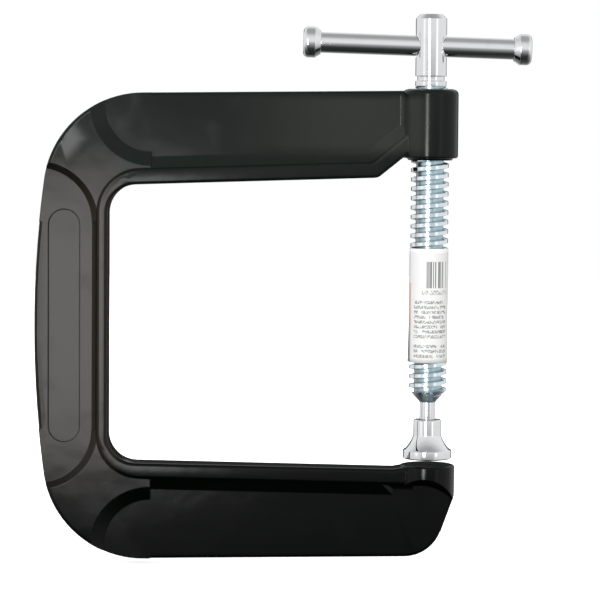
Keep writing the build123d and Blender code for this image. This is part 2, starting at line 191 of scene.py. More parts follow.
# %% [markdown]
# Round the clamp is a light tent. Polished metal and black gloss show nothing but what is round
# them, so the tent is laid out by direction: how high a ray looks, and its bearing from the camera.
# The walls are bright. The mouth, where the camera looks in, is bright above eye level and dark
# below, so the web of the lower arm is blacker than that of the upper one. The back is dark near
# eye level, which gives each round piece a dark edge against the white. Narrow panels draw the
# bright lines that run up the boss and the screw. Real walls and cards would do the same, but they
# would need many more samples than a world that is computed from the direction alone.

# %% the tent's layout
MOUTH_GRADES = (  # how high the direction looks, and how bright the tent is there
    (-1.0, 0.02), (-0.77, 0.04), (-0.62, 0.10), (-0.44, 0.22), (-0.25, 0.34), (-0.05, 0.60),
    (0.05, 0.80), (0.33, 0.86), (0.52, 0.83), (0.68, 0.76), (0.82, 0.60), (0.92, 0.42), (1.0, 0.38),
)
WALL_GRADES = (
    (-1.0, 0.04), (-0.62, 0.22), (-0.35, 0.60), (-0.12, 0.80), (0.05, 0.84), (0.40, 0.90),
    (0.68, 0.78), (0.82, 0.60), (0.92, 0.42), (1.0, 0.38),
)
MOUTH_HALF_WIDTH, MOUTH_EDGE = radians(22), radians(20)
BACK_HALF_WIDTH, BACK_EDGE = radians(26), radians(14)
BACK_BAND, BACK_GRADE = (-0.30, -0.16, 0.20, 0.36), 0.03
PANEL_BAND, PANEL_EDGE = (-0.16, -0.10, 0.20, 0.40), radians(4)
PANELS = (  # bearing, half width, strength
    (radians(-16), radians(2.5), 12.0),
    (radians(-55), radians(6), 0.25),
    (radians(42), radians(4), 0.45),
)
print("tent:", len(MOUTH_GRADES) + len(WALL_GRADES), "grades and", len(PANELS), "panels")

# %% the room
room = bpy.data.worlds.new("light_tent")
bpy.context.scene.world = room
room.use_nodes = True
tree = room.node_tree
tree.nodes.clear()
path = node(tree, "ShaderNodeLightPath")
direction = node(tree, "ShaderNodeTexCoord").outputs["Generated"]
parts = node(tree, "ShaderNodeSeparateXYZ", {0: direction}).outputs
height = parts["Z"]
# the bearing is 0 towards the camera and grows to the right of it
bearing = maths(tree, "ARCTAN2", parts["X"], maths(tree, "MULTIPLY", parts["Y"], -1))
aside = maths(tree, "ABSOLUTE", bearing)


def graded(grades):
    """The tent's brightness by height, from a list of (height, grade)."""
    ramp = node(tree, "ShaderNodeValToRGB", {"Fac": remap(tree, height, -1, 1, 0, 1)})
    stops = ramp.color_ramp.elements
    while len(stops) < len(grades):
        stops.new(0.5)
    for stop, (where, grade) in zip(stops, grades):
        stop.position = (where + 1) / 2
        stop.color = (grade, grade, grade, 1)
    return maths(tree, "ADD", ramp.outputs["Color"], 0)


def blend(factor, first, second):
    """The first brightness where the factor is 0, and the second where it is 1."""
    return node(tree, "ShaderNodeMix", {"Factor": factor, "A": first, "B": second}).outputs["Result"]


sideways = remap(tree, aside, MOUTH_HALF_WIDTH, MOUTH_HALF_WIDTH + MOUTH_EDGE, 0, 1, smooth=True)
walls = blend(sideways, graded(MOUTH_GRADES), graded(WALL_GRADES))
behind = remap(tree, aside, pi - BACK_HALF_WIDTH - BACK_EDGE, pi - BACK_HALF_WIDTH, 0, 1, smooth=True)
walls = blend(maths(tree, "MULTIPLY", behind, band(tree, height, *BACK_BAND)), walls, BACK_GRADE)
in_reach = band(tree, height, *PANEL_BAND)
for aim, half_width, strength in PANELS:
    off = maths(tree, "ABSOLUTE", maths(tree, "SUBTRACT", bearing, aim))
    panel = remap(tree, off, half_width, half_width + PANEL_EDGE, strength, 0, smooth=True)
    walls = maths(tree, "MULTIPLY_ADD", panel, in_reach, walls)
brightness = blend(path.outputs["Is Camera Ray"], walls, 1.0)
sky = node(tree, "ShaderNodeBackground", {"Color": (1, 1, 1, 1), "Strength": brightness})
tree.links.new(sky.outputs[0], node(tree, "ShaderNodeOutputWorld").inputs["Surface"])
print("room:", len(tree.nodes), "nodes")


# %% [markdown]
# Three soft lamps add direction to the tent's even light. A broad one hangs overhead and one
# stands behind for the far side; both light the matt parts only. The third is a panel near the
# left of the camera that shows in gloss. The spine's face mirrors it, and is the one pale part of
# the black bow. A panel painted on the tent would be endlessly far away and would light every
# face that looks the same way. One that stands near is seen by the spine and not by the arms.

# %% the lamps
CLAMP_MIDDLE = Vector((-45, 0, 55)) * MM
PANEL_SIDE, PANEL_NEARNESS, PANEL_HEIGHT = -0.155, -0.54, 0.006


def soft_lamp(name, place, size, watts, aim=CLAMP_MIDDLE, in_gloss=False):
    """A rectangular area lamp at a place in metres, aimed at a point; the camera doesn't see it."""
    data = bpy.data.lights.new(name, "AREA")
    data.shape, data.size, data.size_y = "RECTANGLE", *size
    data.energy = watts
    lamp = bpy.data.objects.new(name, data)
    place = Vector(place)
    turn = (place - Vector(aim)).to_track_quat("Z", "Y").to_matrix().to_4x4()
    lamp.matrix_world = Matrix.Translation(place) @ turn
    bpy.context.scene.collection.objects.link(lamp)
    lamp.visible_camera = False
    lamp.visible_glossy = in_gloss


soft_lamp("tall_panel", (PANEL_SIDE, PANEL_NEARNESS, PANEL_HEIGHT), (0.110, 0.150), 0.50,
          aim=(PANEL_SIDE, 0, PANEL_HEIGHT), in_gloss=True)
soft_lamp("overhead_box", (-0.1, -0.25, 1.0), (0.9, 0.7), 7)
soft_lamp("rear_box", (0.2, 1.0, 0.6), (0.8, 0.5), 4)

# %% [markdown]
# Two effects show on more than one finish, so each is a node group with its own values in every
# material. Handling leaves broad, faint patches where skin has dulled a surface. Grain is the
# height of a skin that is never quite flat: slow lumps with a finer peel on top.

# %% shared effects
def effect_group(name, inputs, outputs):
    """An empty shader node group with float inputs and their defaults, and its two end nodes."""
    group = bpy.data.node_groups.new(name, "ShaderNodeTree")
    group.interface.new_socket("Vector", in_out="INPUT", socket_type="NodeSocketVector")
    for title, default in inputs:
        socket = group.interface.new_socket(title, in_out="INPUT", socket_type="NodeSocketFloat")
        socket.default_value = default
    for title in outputs:
        group.interface.new_socket(title, in_out="OUTPUT", socket_type="NodeSocketFloat")
    return group, node(group, "NodeGroupInput").outputs, node(group, "NodeGroupOutput").inputs


def noise(tree, vector, scale, detail=2.0, roughness=0.5):
    """A Noise texture's value at a vector."""
    return node(tree, "ShaderNodeTexNoise", {
        "Vector": vector, "Scale": scale, "Detail": detail, "Roughness": roughness}).outputs["Fac"]


PATCH_EDGE = 0.25

handling, ins, outs = effect_group("handling_patches", (("Scale", 90.0), ("Spread", 0.5)), ("Mask",))
patch = noise(handling, ins["Vector"], ins["Scale"], detail=4, roughness=0.6)
edge = maths(handling, "SUBTRACT", 1, ins["Spread"])
mask = remap(handling, patch, edge, maths(handling, "ADD", edge, PATCH_EDGE), 0, 1, smooth=True)
handling.links.new(mask, outs["Mask"])

grain, ins, outs = effect_group(
    "skin_grain", (("Lump Scale", 180.0), ("Peel Scale", 900.0), ("Peel Share", 0.3)), ("Height",))
lump = noise(grain, ins["Vector"], ins["Lump Scale"], detail=1)
peel = noise(grain, ins["Vector"], ins["Peel Scale"], detail=1)
grain.links.new(maths(grain, "MULTIPLY_ADD", peel, ins["Peel Share"], lump), outs["Height"])
print("effects:", handling.name, grain.name)


# %% [markdown]
# A finish starts from the Principled shader, which covers paint, metal and paper alike. Mixing
# simpler shaders by hand would give more freedom, but it is easy to make one that throws back more
# light than falls on it. The patterns follow Object coordinates, so they stay put on a moving piece.

# %% helpers for finishes
def finish(name, **settings):
    """A material with a Principled BSDF; gives it, its tree, the shader and Object coordinates."""
    made = bpy.data.materials.new(name)
    made.use_nodes = True
    tree = made.node_tree
    tree.nodes.clear()
    shader = node(tree, "ShaderNodeBsdfPrincipled")
    for title, value in settings.items():
        shader.inputs[title.replace("_", " ")].default_value = value
    tree.links.new(shader.outputs[0], node(tree, "ShaderNodeOutputMaterial").inputs["Surface"])
    return made, tree, shader, node(tree, "ShaderNodeTexCoord").outputs["Object"]


def placed(tree, group, vector, **values):
    """An effect group placed in a material with its own values; gives its output."""
    made = tree.nodes.new("ShaderNodeGroup")
    made.node_tree = group
    tree.links.new(vector, made.inputs["Vector"])
    for title, value in values.items():
        made.inputs[title.replace("_", " ")].default_value = value
    return made.outputs[0]


def between(tree, factor, first, second):
    """A colour mixed between two by a mask; each may be a colour or a socket."""
    first, second = ((*c, 1) if isinstance(c, tuple) else c for c in (first, second))
    mixed = node(tree, "ShaderNodeMix", {"Factor": factor, "A": first, "B": second}, data_type="RGBA")
    return mixed.outputs["Result"]


def coloured(tree, shader, colour, roughness):
    """Feeds the shader's two sockets that every finish varies."""
    tree.links.new(colour, shader.inputs["Base Color"])
    tree.links.new(roughness, shader.inputs["Roughness"])


def bumped(tree, shader, height, depth, **inputs):
    """Raises the shader's surface by a height pattern, its full range being the depth."""
    bump = node(tree, "ShaderNodeBump", {"Height": height, "Distance": depth, **inputs})
    tree.links.new(bump.outputs[0], shader.inputs["Normal"])


# %% [markdown]
# The bow is painted black over a casting. The paint fills the sand's grain but not its slow lumps,
# so its gloss wanders, and it runs off the edges, which the Bevel node rounds in the shading alone.
# Its colour is nearly black all over, with painted light and shade: it is lighter higher up, so
# the lower arm is darker. A painted sheen lies on the upper arm's web towards the boss, and a
# lighter, warmer painted sheen on the spine's face. The shader's IOR is set lower than real
# paint's 1.5, at which the bright tent would turn the black into grey.

# %% where the enamel changes
# a painted sheen on the upper arm's web: where it lies along the arm, and how high up the web
SHEEN_ALONG_ARM = (-75, -22, -6, 2)         # rises from the middle of the arm, ends on the boss
SHEEN_UP_WEB = (97.5, 103, 116, 119)        # clear of the flange below and the edge above
# painted shade: the colour lightens upwards over these heights, so the lower arm is darker
SHADE_RISE = (0, 100)
# the spine's face, where a lighter, warmer painted sheen lies
SPINE_EDGE = (-101, -98.5)
SPINE_MIDDLE, SPINE_FADE = 44.8, (40, 60)


def in_metres(values):
    """Some sizes in millimetres, turned into metres."""
    return [value * MM for value in values]


# %% black enamel
enamel, tree, shader, spot = finish("black_enamel", IOR=1.26)
dulled = placed(tree, handling, spot, Scale=70.0, Spread=0.45)
at = node(tree, "ShaderNodeSeparateXYZ", {0: spot}).outputs
# painted light and shade: a lighter colour high up and a darker one low down, both varied by handling
# patches
lit_tone = between(tree, dulled, (0.0050, 0.0078, 0.0062), (0.0080, 0.0104, 0.0088))
shaded_tone = between(tree, dulled, (0.0004, 0.0012, 0.0006), (0.0012, 0.0018, 0.0012))
# a painted sheen: a lighter patch on the upper arm's web, towards the boss
painted_sheen = product(tree, band(tree, at["X"], *in_metres(SHEEN_ALONG_ARM)),
               band(tree, at["Z"], *in_metres(SHEEN_UP_WEB)))
lit_tone = between(tree, painted_sheen, lit_tone, (0.025, 0.028, 0.024))
greenish = between(tree, remap(tree, at["Z"], *in_metres(SHADE_RISE), 0, 1, smooth=True), shaded_tone, lit_tone)
# a painted sheen: the spine's face is lighter and warmer, most around its middle
from_middle = maths(tree, "ABSOLUTE", maths(tree, "SUBTRACT", at["Z"], SPINE_MIDDLE * MM))
spine_sheen = product(tree, remap(tree, at["X"], *in_metres(SPINE_EDGE), 1, 0),
                   remap(tree, from_middle, *in_metres(SPINE_FADE), 1, 0, smooth=True))
coloured(tree, shader, between(tree, spine_sheen, greenish, (0.013, 0.010, 0.006)),
         remap(tree, dulled, 0, 1, 0.16, 0.23))
soft = node(tree, "ShaderNodeBevel", {"Radius": 0.45 * MM}, samples=6)
skin = placed(tree, grain, spot, Lump_Scale=110.0, Peel_Scale=500.0, Peel_Share=0.12)
bumped(tree, shader, skin, 0.06 * MM, Normal=soft.outputs[0])
print(enamel.name, "has", len(tree.nodes), "nodes")

# %% [markdown]
# The head, bar and pad are bright-plated. Plating is a clean mirror, so it takes its tones from the
# room, and its own colour is nearly white. It would look too perfect with one roughness all over:
# hands leave it a little dull in patches, and it follows the faint waves of the steel below.

# %% bright plate
plate, tree, shader, spot = finish("bright_plate", Metallic=1.0)
dulled = placed(tree, handling, spot, Scale=260.0, Spread=0.45)
coloured(tree, shader, between(tree, dulled, (0.86, 0.87, 0.88), (0.78, 0.79, 0.80)),
         remap(tree, dulled, 0, 1, 0.06, 0.13))
skin = placed(tree, grain, spot, Lump_Scale=300.0, Peel_Scale=1500.0, Peel_Share=0.2)
bumped(tree, shader, skin, 0.012 * MM)
print(plate.name, "has", len(tree.nodes), "nodes")

# %% [markdown]
# The thread is zinc-plated with a clear blue passivation: pale on the crests, with a breath of
# green. Down in the groove it is dark, partly oil and partly painted shade, darkest on its left
# side. How deep a point lies is its distance from the screw's axis, which is the piece's own Z
# axis. An ambient-occlusion node finds grooves too, but it costs rays and would also darken the
# metal where the boss covers it.

# %% blue zinc
# the groove's oil and painted shade: full below the first radius, gone above the second
GROOVE_RADII = (4.45, 5.6)        # fully oily below the first, clean above the second
DARK_LEFT_EDGE = (-4.2, -0.5)

zinc, tree, shader, spot = finish("blue_zinc", Metallic=1.0)
parts = node(tree, "ShaderNodeSeparateXYZ", {0: spot}).outputs
squares = maths(tree, "MULTIPLY_ADD", parts["X"], parts["X"],
                maths(tree, "MULTIPLY", parts["Y"], parts["Y"]))
depth = remap(tree, maths(tree, "SQRT", squares), *in_metres(GROOVE_RADII), 1, 0, smooth=True)
tint = noise(tree, spot, 420.0, detail=2)
pale = between(tree, remap(tree, tint, 0.4, 0.62, 0, 1), (0.80, 0.91, 0.95), (0.88, 0.92, 0.97))
on_left = remap(tree, parts["X"], *in_metres(DARK_LEFT_EDGE), 1, 0, smooth=True)
# the groove's colour, partly oil and partly painted shade, darker on the left side
oil_and_shade = between(tree, on_left, (0.24, 0.42, 0.48), (0.06, 0.11, 0.11))
dulled = placed(tree, handling, spot, Scale=500.0, Spread=0.5)
dull = maths(tree, "ADD", remap(tree, dulled, 0, 1, 0.16, 0.30), maths(tree, "MULTIPLY", depth, 0.15))
coloured(tree, shader, between(tree, maths(tree, "MULTIPLY", depth, 0.6), pale, oil_and_shade), dull)
skin = placed(tree, grain, spot, Lump_Scale=700.0, Peel_Scale=2500.0, Peel_Share=0.3)
bumped(tree, shader, skin, 0.02 * MM)
print(zinc.name, "has", len(tree.nodes), "nodes")

# %% [markdown]
# The label is thin white paper. Its print is generic: a block of bars, and rows of short dashes
# where words would be. The pattern follows the paper, so it is drawn on the sleeve's own UV map,
# which is laid out in millimetres: across from the front of the screw, and up from the lower edge.
# Print is a matter of yes or no, so it is built from masks: a box says where a block of print
# lies, and a random number for each cell of a grid says where there is ink in it.

# %% helpers for the print
label_paper, tree, shader, spot = finish("label_paper", Specular_IOR_Level=0.4)
print_uv = node(tree, "ShaderNodeUVMap", uv_map="print").outputs[0]
parts = node(tree, "ShaderNodeSeparateXYZ", {0: print_uv}).outputs
across, rise = parts["X"], parts["Y"]


def inside(value, low, high):
    """1 where value lies between low and high, else 0."""
    return maths(tree, "MULTIPLY", maths(tree, "GREATER_THAN", value, low),
                 maths(tree, "LESS_THAN", value, high))


def cells(cells_across, cells_up, seed):
    """A random number for each cell of a grid, given in cells to the millimetre."""
    place = node(tree, "ShaderNodeCombineXYZ", {
        "X": maths(tree, "FLOOR", maths(tree, "MULTIPLY", across, cells_across)),
        "Y": maths(tree, "FLOOR", maths(tree, "MULTIPLY", rise, cells_up)), "Z": seed})
    return node(tree, "ShaderNodeTexWhiteNoise", {"Vector": place.outputs[0]}).outputs["Value"]


def inked(random, least):
    """1 where a cell's random number is greater than the least, else 0."""
    return maths(tree, "GREATER_THAN", random, least)


def box(sides, ends):
    """1 inside a rectangle on the paper, in millimetres, else 0."""
    return maths(tree, "MULTIPLY", inside(across, *sides), inside(rise, *ends))


# %% the print
LINE_PITCH = 1.56                 # in millimetres, as the paper's own map
BAR_SEED, FIGURE_SEED, LETTER_SEED, WORD_SEED = 21.0, 5.0, 7.0, 9.0
BAR_INK, TEXT_INK, FIGURE_INK, EDGE_INK_AND_SHADE = 0.86, 0.62, 0.45, 0.7
BAR_BOX, FIGURE_BOX = ((-2.1, 6.4), (24.0, 32.4)), ((-2.4, 6.2), (21.9, 23.3))
# The pink box is a printed edge. The grey box is a painted shadow: the gap under the lifted end's lower
# corner.
PINK_BOX, GAP_SHADOW_BOX = ((-8.6, -7.3), (9.9, 25.5)), ((-8.6, -7.6), (0.0, 9.9))
TEXT_SIDES, LETTER_HEIGHT = (-5.4, 6.0), (0.14, 0.78)      # the height is a share of the line's pitch

bar_ink = product(tree, inked(cells(2.9, 0, BAR_SEED), 0.5),
                  remap(tree, cells(2.9, 0, BAR_SEED + 1), 0, 1, 0.45, 1.0))
bars = maths(tree, "MULTIPLY", bar_ink, box(*BAR_BOX))
figures = maths(tree, "MULTIPLY", inked(cells(2.4, 2.2, FIGURE_SEED), 0.55), box(*FIGURE_BOX))

in_line = inside(maths(tree, "FRACT", maths(tree, "DIVIDE", rise, LINE_PITCH)), *LETTER_HEIGHT)
letters = maths(tree, "MULTIPLY", inked(cells(3.6, 3.0, LETTER_SEED), 0.36), in_line)
words = inked(cells(0.8, 1 / LINE_PITCH, WORD_SEED), 0.10)
blocks = maths(tree, "MAXIMUM", inside(rise, LINE_PITCH, 4 * LINE_PITCH),
               inside(rise, 5 * LINE_PITCH, 13 * LINE_PITCH))
text = product(tree, letters, words, blocks, inside(across, *TEXT_SIDES))

ink = maths(tree, "MAXIMUM", maths(tree, "MULTIPLY", bars, BAR_INK),
            maths(tree, "MAXIMUM", maths(tree, "MULTIPLY", text, TEXT_INK),
                  maths(tree, "MULTIPLY", figures, FIGURE_INK)))
pink_edge = maths(tree, "MULTIPLY", box(*PINK_BOX), EDGE_INK_AND_SHADE)
# a painted shadow where the lifted end leaves a gap, at its lower corner
gap_shadow = maths(tree, "MULTIPLY", box(*GAP_SHADOW_BOX), EDGE_INK_AND_SHADE)
print("print: lines", LINE_PITCH, "mm apart,", len(tree.nodes), "nodes")

# %% label paper
blank = between(tree, noise(tree, spot, 60.0, detail=3), (0.90, 0.91, 0.90), (0.95, 0.95, 0.94))
print_and_shadow = between(tree, ink, blank, (0.06, 0.06, 0.07))
print_and_shadow = between(tree, pink_edge, print_and_shadow, (0.78, 0.32, 0.28))
# the painted shadow of the gap under the lifted end, in dark grey
print_and_shadow = between(tree, gap_shadow, print_and_shadow, (0.12, 0.12, 0.12))
coloured(tree, shader, print_and_shadow, remap(tree, noise(tree, spot, 300.0), 0.3, 0.7, 0.42, 0.55))
skin = placed(tree, grain, spot, Lump_Scale=350.0, Peel_Scale=3000.0, Peel_Share=0.3)
bumped(tree, shader, skin, 0.03 * MM)
print(label_paper.name, "has", len(tree.nodes), "nodes")

# %% [markdown]
# A wire ring inside the pad keeps it on the ball. Such a ring is bent from drawn wire and isn't
# plated, so its metal is greyer and duller than the rest, and a fine noise stands for the scale.

# %% spring wire
wire, tree, shader, spot = finish("spring_wire", Metallic=1.0)
drawn = noise(tree, spot, 900.0, detail=3)
coloured(tree, shader, between(tree, drawn, (0.42, 0.42, 0.43), (0.58, 0.57, 0.56)),
         remap(tree, drawn, 0.3, 0.7, 0.25, 0.4))
print("finishes:", [m.name for m in bpy.data.materials])

# %% [markdown]
# Turned pieces come off a lathe: the head of the screw, the pad, the bar and its caps are each one
# outline spun round an axis. Modelling them from a cylinder and bevelling the edges would work too,
# but an outline with a radius at each corner is how a turner's drawing gives them. Small radii
# matter most on plated steel, because each rounded edge catches a line of light.

# %% helpers for turned pieces
def rounded(outline, steps=6):
    """An outline of (radius, height, corner radius) points, with arcs put in at its corners."""
    points = [Vector((r, h)) for r, h, _ in outline]
    result = [points[0]]
    for before, corner, after, (_, _, radius) in zip(points, points[1:], points[2:], outline[1:]):
        if radius == 0:
            result.append(corner)
            continue
        a, b = (before - corner).normalized(), (after - corner).normalized()
        half_angle = a.angle(b) / 2
        reach = radius / tan(half_angle)
        centre = corner + (a + b).normalized() * radius / sin(half_angle)
        start, end = corner + a * reach - centre, corner + b * reach - centre
        for step in range(steps + 1):
            share = step / steps
            spoke = (start * (1 - share) + end * share).normalized() * radius
            result.append(centre + spoke)
    return result + [points[-1]]


def as_piece(name, mesh, body, slot, *nodes):
    """Puts a finished mesh in the scene as a piece that rides on a body and stands for CAD nodes."""
    piece = bpy.data.objects.new(name, mesh)
    bpy.context.scene.collection.objects.link(piece)
    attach(piece, body)
    if nodes:
        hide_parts(*nodes)
    print(name, "rides on", body, "with", len(mesh.polygons), "faces")
    return piece


CRISP_CORNER = radians(34)
ON_AXIS = 1e-6


def turned_mesh(name, outline, steps=128, place=Matrix.Identity(4)):
    """Spins an outline in millimetres round +Z, closed where it meets the axis, and places it."""
    made = bmesh.new()
    rings = []
    for r, h in outline:
        if r < ON_AXIS:
            rings.append([made.verts.new((0, 0, h))])
            continue
        turns = [2 * pi * step / steps for step in range(steps)]
        rings.append([made.verts.new((r * cos(t), r * sin(t), h)) for t in turns])
    for low, high in zip(rings, rings[1:]):
        for step in range(steps):
            after = (step + 1) % steps
            if len(low) == 1 and len(high) == 1:
                continue
            if len(low) == 1:
                made.faces.new((low[0], high[after], high[step]))
            elif len(high) == 1:
                made.faces.new((low[step], low[after], high[0]))
            else:
                made.faces.new((low[step], low[after], high[after], high[step]))
    bmesh.ops.recalc_face_normals(made, faces=made.faces)
    made.transform(place @ Matrix.Scale(MM, 4))
    mesh = bpy.data.meshes.new(name)
    made.to_mesh(mesh)
    made.free()
    mesh.shade_smooth()
    mesh.set_sharp_from_angle(angle=CRISP_CORNER)
    return mesh


# %% [markdown]
# The screw's thread follows one rule: height grows with the turn, and the radius depends only on
# how far a point is from the middle of the ridge. That makes it a case for Geometry Nodes. A flat
# grid is rolled up: along its length it counts turns, and across its width it spans one pitch, so
# that neighbouring turns meet and can be merged. Sweeping a ridge along a helix is the usual other
# way, but it leaves the ridge stuck on a core, and not one clean skin.

# %% the thread's sizes
PITCH = 3.0 * MM
CREST_RADIUS = 6.0 * MM
ROOT_RADIUS = 4.4 * MM
CREST_WIDTH = 1.143 * MM
FLANK_WIDTH = 0.429 * MM
THREAD_LOW, THREAD_HIGH = 20.22 * MM, 121.1 * MM
NECK_RADIUS = 2.55 * MM
TIP_LENGTH = 3.8 * MM
RUN_OUT_LENGTH = 1.1 * MM
MIDDLE_RIDGE = 24 * PITCH          # a height where the ridge crosses over +X
TURNS, STEPS_PER_TURN, STEPS_PER_PITCH = 36, 56, 24
MERGE_REACH = 0.004 * MM
CREST_END, FLANK_END = 2 / 12, 8 / 12      # shares of the grid's half width, on its grid lines
print("thread:", round((THREAD_HIGH - THREAD_LOW) / PITCH, 1), "turns of", PITCH / MM, "mm")


# %% the thread's tree
def thread_tree():
    """The Geometry Nodes tree that rolls a grid up into one thread; its sizes are its inputs."""
    tree = bpy.data.node_groups.new("screw_thread", "GeometryNodeTree")
    face = tree.interface
    for title, kind, default in (
        ("Pitch", "NodeSocketFloat", PITCH),
        ("Crest Radius", "NodeSocketFloat", CREST_RADIUS),
        ("Root Radius", "NodeSocketFloat", ROOT_RADIUS),
        ("Crest Width", "NodeSocketFloat", CREST_WIDTH),
        ("Flank Width", "NodeSocketFloat", FLANK_WIDTH),
        ("Low", "NodeSocketFloat", THREAD_LOW),
        ("High", "NodeSocketFloat", THREAD_HIGH),
        ("Neck Radius", "NodeSocketFloat", NECK_RADIUS),
        ("Tip Length", "NodeSocketFloat", TIP_LENGTH),
        ("Run-out Length", "NodeSocketFloat", RUN_OUT_LENGTH),
        ("Middle Ridge", "NodeSocketFloat", MIDDLE_RIDGE),
        ("Turns", "NodeSocketInt", TURNS),
        ("Steps per Turn", "NodeSocketInt", STEPS_PER_TURN),
        ("Steps per Pitch", "NodeSocketInt", STEPS_PER_PITCH),
        ("Finish", "NodeSocketMaterial", None),
    ):
        socket = face.new_socket(title, in_out="INPUT", socket_type=kind)
        if default is not None:
            socket.default_value = default
    face.new_socket("Thread", in_out="OUTPUT", socket_type="NodeSocketGeometry")
    asked = node(tree, "NodeGroupInput").outputs

    along = maths(tree, "ADD", maths(tree, "MULTIPLY", asked["Turns"], asked["Steps per Turn"]), 1)
    across = maths(tree, "ADD", asked["Steps per Pitch"], 1)
    grid = node(tree, "GeometryNodeMeshGrid", {
        "Size X": asked["Turns"], "Size Y": 1.0, "Vertices X": along, "Vertices Y": across})
    spot = node(tree, "ShaderNodeSeparateXYZ", {0: node(tree, "GeometryNodeInputPosition").outputs[0]})
    turn, offset = spot.outputs["X"], spot.outputs["Y"]

    # the share of half a pitch is spread so that grid lines fall on the profile's corners
    share = maths(tree, "MULTIPLY", maths(tree, "ABSOLUTE", offset), 2)
    half_crest = maths(tree, "DIVIDE", asked["Crest Width"], 2)
    half_pitch = maths(tree, "DIVIDE", asked["Pitch"], 2)
    flank_width = asked["Flank Width"]
    half_root = maths(tree, "SUBTRACT", half_pitch, maths(tree, "ADD", half_crest, flank_width))
    from_ridge = maths(tree, "ADD", remap(tree, share, 0, CREST_END, 0, half_crest),
                       maths(tree, "ADD", remap(tree, share, CREST_END, FLANK_END, 0, flank_width),
                             remap(tree, share, FLANK_END, 1, 0, half_root)))
    sideways = maths(tree, "MULTIPLY", from_ridge, maths(tree, "SIGN", offset))
    climb = maths(tree, "MULTIPLY_ADD", turn, asked["Pitch"], asked["Middle Ridge"])
    height = maths(tree, "ADD", climb, sideways)
    height = maths(tree, "MINIMUM", maths(tree, "MAXIMUM", height, asked["Low"]), asked["High"])

    # the flank is half straight and half eased, which rounds its two corners a little
    flank = (share, CREST_END, FLANK_END, asked["Crest Radius"], asked["Root Radius"])
    straight, eased = remap(tree, *flank), remap(tree, *flank, smooth=True)
    radius = maths(tree, "DIVIDE", maths(tree, "ADD", straight, eased), 2)
    above_low = maths(tree, "SUBTRACT", height, asked["Low"])
    tip = remap(tree, above_low, 0, asked["Tip Length"], asked["Neck Radius"], asked["Crest Radius"])
    below_high = maths(tree, "SUBTRACT", asked["High"], height)
    run_out = remap(tree, below_high, 0, asked["Run-out Length"], asked["Root Radius"],
                    asked["Crest Radius"])
    radius = maths(tree, "MINIMUM", radius, maths(tree, "MINIMUM", tip, run_out))

    angle = maths(tree, "MULTIPLY", turn, 2 * pi)
    place = node(tree, "ShaderNodeCombineXYZ", {
        "X": maths(tree, "MULTIPLY", radius, maths(tree, "COSINE", angle)),
        "Y": maths(tree, "MULTIPLY", radius, maths(tree, "SINE", angle)),
        "Z": height})
    rolled = node(tree, "GeometryNodeSetPosition", {
        "Geometry": grid.outputs["Mesh"], "Position": place.outputs[0]})
    joined = node(tree, "GeometryNodeMergeByDistance", {
        "Geometry": rolled.outputs[0], "Distance": MERGE_REACH})
    real = node(tree, "GeometryNodeRealizeInstances", {"Geometry": joined.outputs[0]})
    coated = node(tree, "GeometryNodeSetMaterial", {
        "Geometry": real.outputs[0], "Material": asked["Finish"]})
    tree.links.new(coated.outputs[0], node(tree, "NodeGroupOutput").inputs["Thread"])
    return tree


def grown(name, tree, **values):
    """The plain mesh that a Geometry Nodes tree makes with these inputs."""
    seed = bpy.data.objects.new(name, bpy.data.meshes.new(name))
    bpy.context.scene.collection.objects.link(seed)
    modifier = seed.modifiers.new("tree", "NODES")
    modifier.node_group = tree
    for item in tree.interface.items_tree:
        if item.in_out == "INPUT" and item.name.replace(" ", "_") in values:
            modifier[item.identifier] = values[item.name.replace(" ", "_")]
    bpy.context.view_layer.update()
    ready = seed.evaluated_get(bpy.context.evaluated_depsgraph_get())
    mesh = bpy.data.meshes.new_from_object(ready)
    mesh.name = name
    bpy.data.objects.remove(seed)
    return mesh


# %% [markdown]
# The tree's result is turned into a plain mesh, because its two ends are still open. Each is capped
# with one face, where the head and the neck cover it, which makes the thread a closed solid.

# %% the thread
SLIVER = 0.001 * MM
THREAD_CORNER = radians(50)

thread_mesh = grown("screw_thread", thread_tree(), Finish=zinc)
made = bmesh.new()
made.from_mesh(thread_mesh)
bmesh.ops.dissolve_degenerate(made, edges=made.edges, dist=SLIVER)
open_edges = [edge for edge in made.edges if edge.is_boundary]
bmesh.ops.holes_fill(made, edges=open_edges)
bmesh.ops.recalc_face_normals(made, faces=made.faces)
print("thread: open edges", len(open_edges), "left", sum(edge.is_boundary for edge in made.edges))
made.to_mesh(thread_mesh)
made.free()
thread_mesh.shade_smooth()
thread_mesh.set_sharp_from_angle(angle=THREAD_CORNER)
as_piece("screw_thread", thread_mesh, "screw", "spindle", "spindle")

# %% [markdown]
# The head is turned in one piece with the screw: a collar, a groove and a long plain barrel, bored
# across for the bar. The bore is a Boolean with a cutter that flares at both ends, which is what a
# countersink leaves. The Boolean's result is kept as a plain mesh.

# %% the screw's barrel and the cutter
HEAD_RADIUS = 4.95
HEAD_LOW, HEAD_HIGH = 121.1, 144.0
COLLAR_TOP, GROOVE_TOP, GROOVE_DEPTH = 1.7, 3.2, 0.65      # up from the head's underside
HEAD_CHAMFER = 1.5
BAR_HEIGHT = 133.8
BORE_RADIUS, FLARE_START, CUTTER_REACH = 3.5, 4.62, 8

